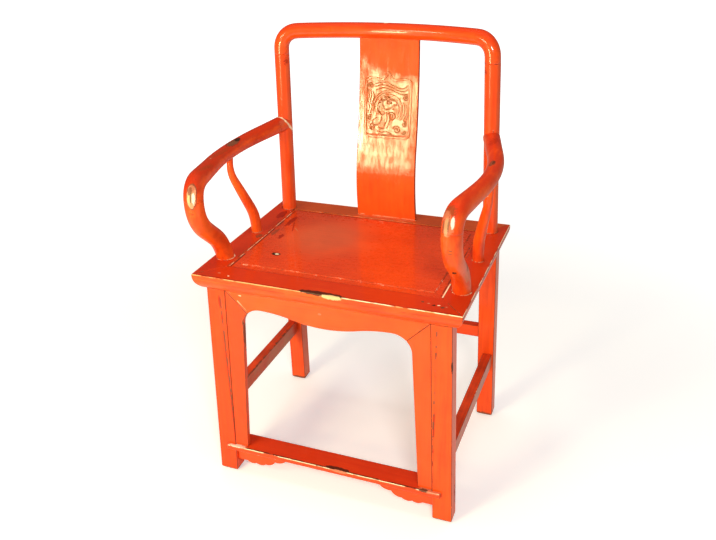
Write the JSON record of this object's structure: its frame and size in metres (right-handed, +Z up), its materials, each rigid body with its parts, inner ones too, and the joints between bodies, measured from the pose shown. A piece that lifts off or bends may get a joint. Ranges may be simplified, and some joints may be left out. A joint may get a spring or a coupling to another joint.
{
  "type": "official's hat armchair",
  "caption": "Lacquered wooden armchair with bowed crest rail, S-shaped splat, curved arms on gooseneck posts, framed plank seat, arched apron and stepped stretchers.",
  "frame": {"origin": "on the floor under the middle of the chair", "axes": "+Z up, +X to the viewer's right from the front, the sitter faces -Y"},
  "size_m": [0.6246, 0.4875, 0.9752],
  "materials": {
    "lacquered_wood": "glossy red-orange lacquer, worn to dark wood at edges"
  },
  "bodies": {
    "root": {"crest_rail": "lacquered_wood", "back_splat": "lacquered_wood", "seat_front_rail": "lacquered_wood", "seat_back_rail": "lacquered_wood", "seat_panel": "lacquered_wood", "front_apron_head": "lacquered_wood", "footrest": "lacquered_wood", "footrest_apron": "lacquered_wood", "rear_stretcher": "lacquered_wood", "rear_leg_left": "lacquered_wood", "rear_leg_right": "lacquered_wood", "front_leg_left": "lacquered_wood", "front_leg_right": "lacquered_wood", "arm_rail_left": "lacquered_wood", "arm_rail_right": "lacquered_wood", "gooseneck_left": "lacquered_wood", "gooseneck_right": "lacquered_wood", "arm_spindle_left": "lacquered_wood", "arm_spindle_right": "lacquered_wood", "seat_end_rail_left": "lacquered_wood", "seat_end_rail_right": "lacquered_wood", "seat_batten_left": "lacquered_wood", "seat_batten_right": "lacquered_wood", "front_apron_side_left": "lacquered_wood", "front_apron_side_right": "lacquered_wood", "side_stretcher_left": "lacquered_wood", "side_stretcher_right": "lacquered_wood"}
  },
  "joints": []
}
